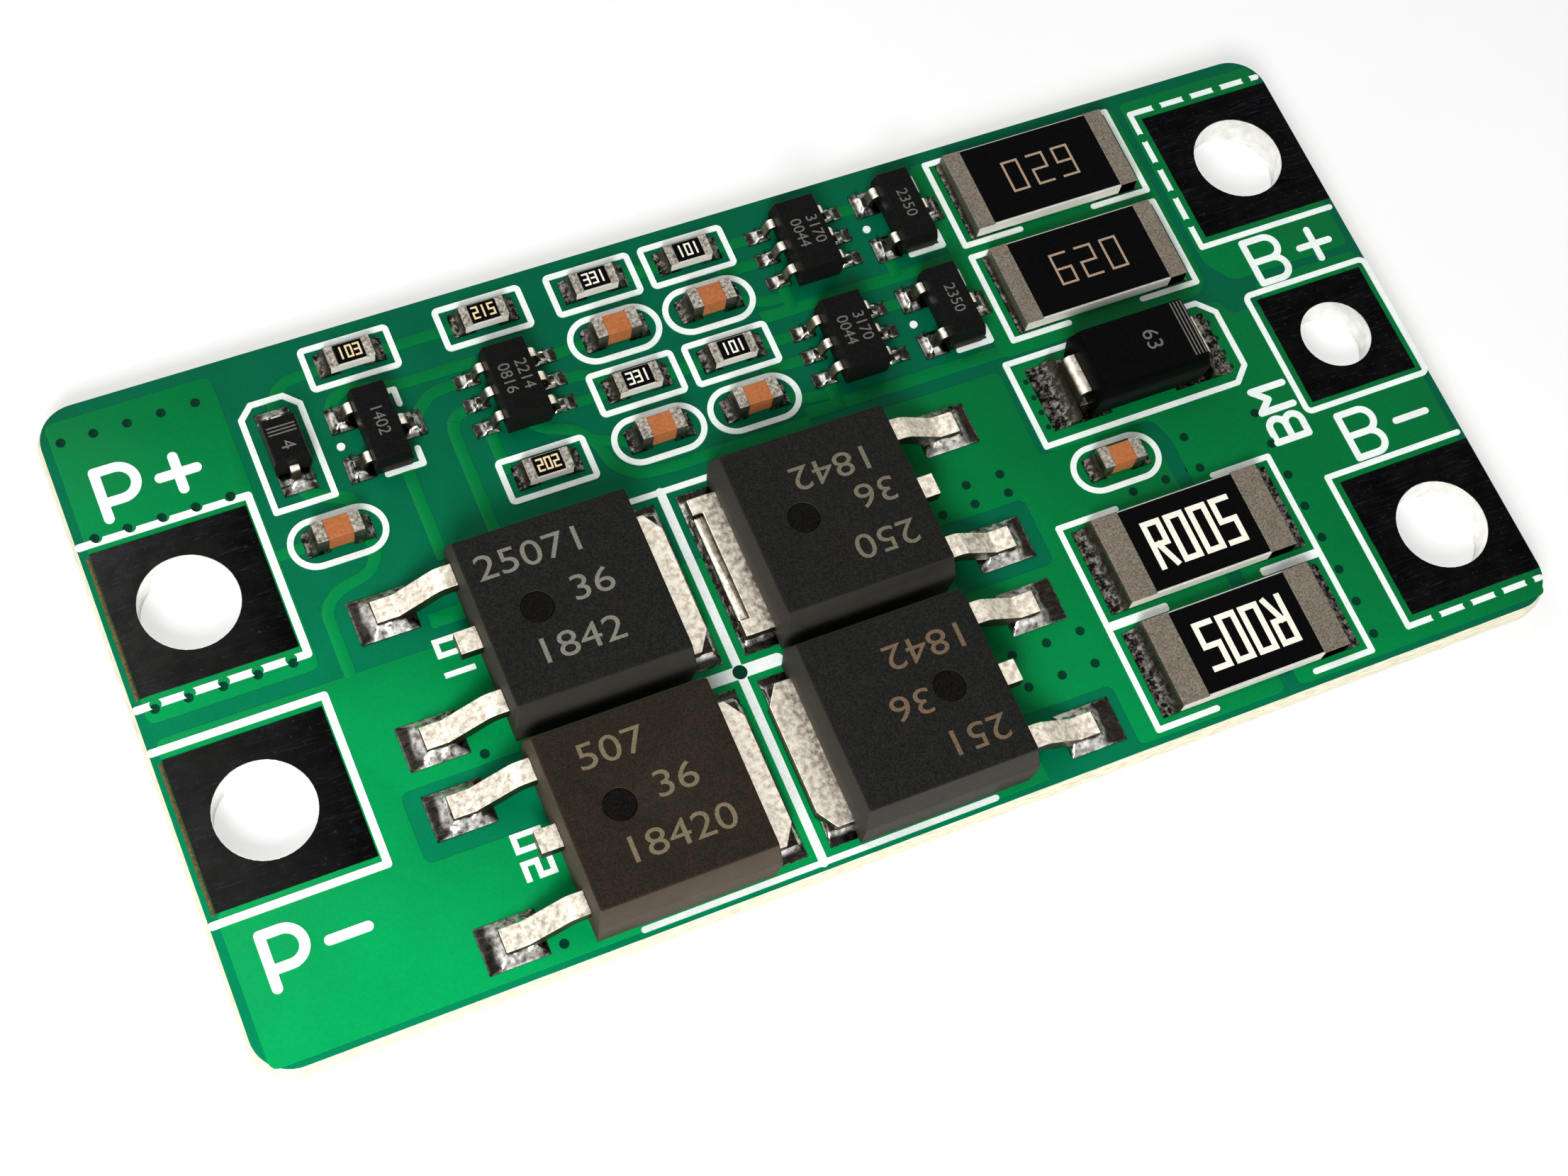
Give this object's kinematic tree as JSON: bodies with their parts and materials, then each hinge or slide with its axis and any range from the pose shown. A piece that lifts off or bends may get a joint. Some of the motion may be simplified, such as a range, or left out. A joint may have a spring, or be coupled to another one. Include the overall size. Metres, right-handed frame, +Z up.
{
  "type": "battery management board",
  "caption": "Small green battery protection circuit board with power transistors, large resistors, chip parts and drilled load and battery pads.",
  "frame": {"origin": "centre of the bare board's underside", "axes": "+X along the length from the load pads to the battery pads, +Y across the board towards the small chip parts, +Z up through the parts"},
  "size_m": [0.0462, 0.0238, 0.0036],
  "materials": {
    "board_green": "satin",
    "print_white": "matte",
    "tinned_metal": "gloss",
    "lead_metal": "satin",
    "end_metal": "satin",
    "case_black": "matte",
    "glaze_black": "satin",
    "ceramic_white": "matte",
    "ceramic_tan": "matte",
    "code_print": "matte"
  },
  "bodies": {
    "root": {"circuit_board": "board_green", "silkscreen": "print_white", "load_plus_pad": "tinned_metal", "load_minus_pad": "tinned_metal", "battery_plus_pad": "tinned_metal", "battery_middle_pad": "tinned_metal", "battery_minus_pad": "tinned_metal", "soldered_lands": "tinned_metal", "mosfet_1_case": "case_black", "mosfet_1_leadframe": "lead_metal", "mosfet_2_case": "case_black", "mosfet_2_leadframe": "lead_metal", "mosfet_3_case": "case_black", "mosfet_3_leadframe": "lead_metal", "mosfet_4_case": "case_black", "mosfet_4_leadframe": "lead_metal", "sense_resistor_1_body": "ceramic_white", "sense_resistor_1_glaze": "glaze_black", "sense_resistor_1_ends": "end_metal", "sense_resistor_2_body": "ceramic_white", "sense_resistor_2_glaze": "glaze_black", "sense_resistor_2_ends": "end_metal", "bleed_resistor_1_body": "ceramic_white", "bleed_resistor_1_glaze": "glaze_black", "bleed_resistor_1_ends": "end_metal", "bleed_resistor_2_body": "ceramic_white", "bleed_resistor_2_glaze": "glaze_black", "bleed_resistor_2_ends": "end_metal", "controller_1_case": "case_black", "controller_1_leads": "lead_metal", "controller_2_case": "case_black", "controller_2_leads": "lead_metal", "controller_3_case": "case_black", "controller_3_leads": "lead_metal", "transistor_1_case": "case_black", "transistor_1_leads": "lead_metal", "transistor_2_case": "case_black", "transistor_2_leads": "lead_metal", "transistor_3_case": "case_black", "transistor_3_leads": "lead_metal", "power_diode_case": "glaze_black", "power_diode_leads": "lead_metal", "small_diode_case": "case_black", "small_diode_leads": "lead_metal", "gate_resistor": "ceramic_white", "sense_filter_resistor": "ceramic_white", "supply_resistor_1": "ceramic_white", "supply_resistor_2": "ceramic_white", "balance_resistor_1": "ceramic_white", "balance_resistor_2": "ceramic_white", "load_sense_resistor": "ceramic_white", "chip_resistor_glazes": "glaze_black", "load_capacitor": "ceramic_tan", "supply_capacitor_1": "ceramic_tan", "supply_capacitor_2": "ceramic_tan", "cell_capacitor_1": "ceramic_tan", "cell_capacitor_2": "ceramic_tan", "battery_capacitor": "ceramic_tan", "chip_end_caps": "end_metal", "component_codes": "code_print"}
  },
  "joints": []
}
